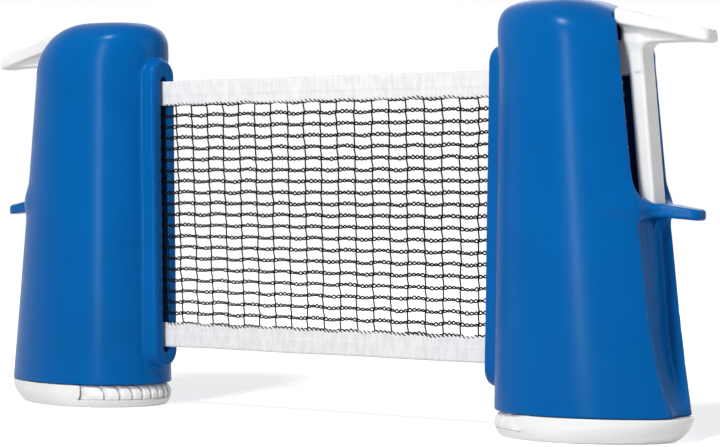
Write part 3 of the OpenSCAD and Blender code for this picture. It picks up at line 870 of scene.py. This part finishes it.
def make_camera():
    data = bpy.data.cameras.new("camera")
    data.sensor_width = SENSOR_W
    data.lens = FOCAL_PIXELS * SENSOR_W / IMAGE_PIXELS
    data.clip_start, data.clip_end = 0.01, 50
    camera = bpy.data.objects.new("camera", data)
    bpy.context.collection.objects.link(camera)
    ahead = Vector((math.sin(CAMERA_YAW) * math.cos(CAMERA_PITCH),
                    math.cos(CAMERA_YAW) * math.cos(CAMERA_PITCH), math.sin(CAMERA_PITCH)))
    level = Vector((math.cos(CAMERA_YAW), -math.sin(CAMERA_YAW), 0))
    up = level.cross(ahead)
    right = math.cos(CAMERA_ROLL) * level + math.sin(CAMERA_ROLL) * up
    up = math.cos(CAMERA_ROLL) * up - math.sin(CAMERA_ROLL) * level
    turn = Matrix((right, up, -ahead)).transposed()
    camera.matrix_world = Matrix.Translation(Vector(CAMERA_PLACE) * MM) @ turn.to_4x4()
    bpy.context.scene.camera = camera


def area_light(name, place_m, target, size, power):
    data = bpy.data.lights.new(name, "AREA")
    data.shape = "RECTANGLE"
    data.size, data.size_y = size
    data.energy = power
    lamp = bpy.data.objects.new(name, data)
    bpy.context.collection.objects.link(lamp)
    lamp.location = place_m
    lamp.rotation_euler = (Vector(target) - Vector(place_m)).to_track_quat("-Z", "Y").to_euler()


# Name, place, target and size in metres, power in watts.
LIGHTS = (("front", (0.2, -1.3, 0.25), (0, 0, 0.1), (0.14, 1.2), 10.5),
          ("crown", (0.09, -0.95, 1.2), (0, 0, 0.15), (0.2, 0.2), 13),
          ("side", (1.35, 0.35, 0.4), (0.1, 0, 0.1), (0.8, 1.0), 5),
          ("back", (-0.5, 1.3, 0.8), (0, 0, 0.1), (1.0, 0.8), 4))


def seen_rays(nodes, links, path):
    """1 for rays that show the background: from the camera, a reflection or a clear piece."""
    total = path.outputs["Is Camera Ray"]
    for name in ("Is Glossy Ray", "Is Transmission Ray"):
        node = nodes.new("ShaderNodeMath")
        node.operation = "MAXIMUM"
        links.new(total, node.inputs[0])
        links.new(path.outputs[name], node.inputs[1])
        total = node.outputs["Value"]
    return total


def make_world():
    world = bpy.data.worlds.new("studio")
    bpy.context.scene.world = world
    world.use_nodes = True
    nodes, links = world.node_tree.nodes, world.node_tree.links
    background = nodes["Background"]
    path = nodes.new("ShaderNodeLightPath")
    bright = nodes.new("ShaderNodeMapRange")
    bright.inputs["To Min"].default_value = 0.1
    bright.inputs["To Max"].default_value = 1.0
    links.new(seen_rays(nodes, links, path), bright.inputs["Value"])
    links.new(bright.outputs["Result"], background.inputs["Strength"])
    background.inputs["Color"].default_value = (1, 1, 1, 1)


def make_floor():
    material = bpy.data.materials.new("pale_floor")
    material.use_nodes = True
    nodes, links = material.node_tree.nodes, material.node_tree.links
    nodes.remove(nodes["Principled BSDF"])
    diffuse = nodes.new("ShaderNodeBsdfDiffuse")
    diffuse.inputs["Color"].default_value = (0.75, 0.75, 0.75, 1)
    glow = nodes.new("ShaderNodeEmission")
    path = nodes.new("ShaderNodeLightPath")
    place_node = nodes.new("ShaderNodeTexCoord")
    distance = nodes.new("ShaderNodeVectorMath")
    distance.operation = "LENGTH"
    links.new(place_node.outputs["Object"], distance.inputs[0])
    white = nodes.new("ShaderNodeMapRange")
    white.inputs["From Min"].default_value = 0.25
    white.inputs["From Max"].default_value = 1.4
    white.inputs["To Min"].default_value = 0.66
    white.inputs["To Max"].default_value = 1.0
    links.new(distance.outputs["Value"], white.inputs["Value"])
    level = nodes.new("ShaderNodeMath")
    level.operation = "MULTIPLY"
    links.new(white.outputs["Result"], level.inputs[1])
    links.new(seen_rays(nodes, links, path), level.inputs[0])
    links.new(level.outputs["Value"], glow.inputs["Strength"])
    add = nodes.new("ShaderNodeAddShader")
    links.new(diffuse.outputs["BSDF"], add.inputs[0])
    links.new(glow.outputs["Emission"], add.inputs[1])
    links.new(add.outputs["Shader"], nodes["Material Output"].inputs["Surface"])
    mesh = bpy.data.meshes.new("floor")
    mesh.from_pydata([(-6, -6, 0), (6, -6, 0), (6, 6, 0), (-6, 6, 0)], [], [(0, 1, 2, 3)])
    mesh.materials.append(material)
    floor = bpy.data.objects.new("floor", mesh)
    bpy.context.collection.objects.link(floor)


bpy.context.scene.view_settings.view_transform = "Standard"
make_camera()
dress_nodes()
make_posts()
make_springs()
make_net()
make_reserves()
for light in LIGHTS:
    area_light(*light)
make_world()
make_floor()
